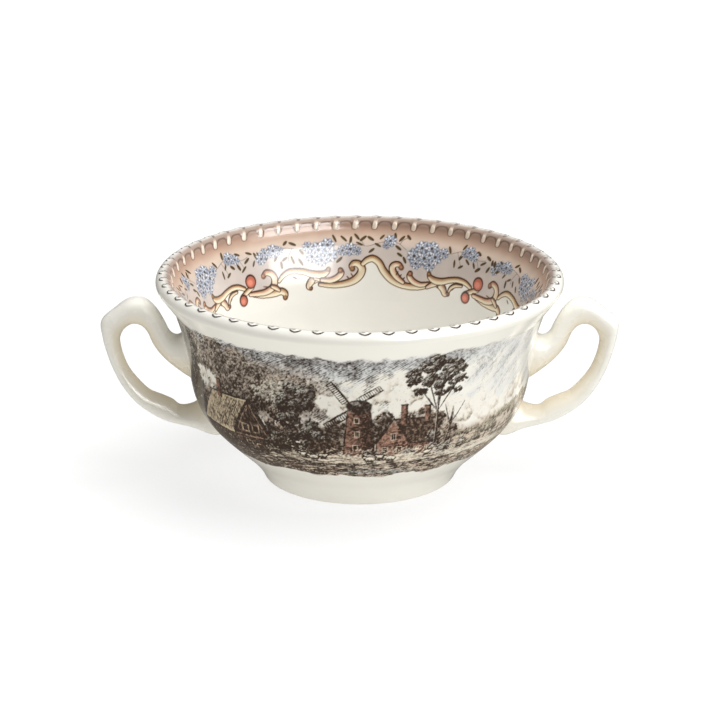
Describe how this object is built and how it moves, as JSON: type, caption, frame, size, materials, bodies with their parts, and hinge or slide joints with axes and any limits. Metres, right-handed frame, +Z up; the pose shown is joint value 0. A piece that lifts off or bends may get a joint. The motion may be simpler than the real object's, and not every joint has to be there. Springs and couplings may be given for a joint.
{
  "type": "lug soup bowl",
  "caption": "Round footed soup bowl in glazed earthenware with a flared, rolled lip and a scrolled lug handle on each side.",
  "frame": {"origin": "centre of the foot where it stands on the table", "axes": "+Z up through the middle of the bowl, X through both handles, -Y towards the printed front"},
  "size_m": [0.1598, 0.125, 0.0653],
  "materials": {
    "glazed_body": "glossy ivory glaze over a dark brown and tinted underglaze print",
    "glazed_foot": "glossy ivory glaze, wiped thin where the foot stands",
    "glazed_handle": "glossy ivory glaze, plain",
    "slip_joint": "fired clay slip under the glaze"
  },
  "bodies": {
    "root": {"bowl_body": "glazed_body", "foot_ring": "glazed_foot", "left_handle": "glazed_handle", "right_handle": "glazed_handle", "left_handle_slip": "slip_joint", "right_handle_slip": "slip_joint"}
  },
  "joints": []
}
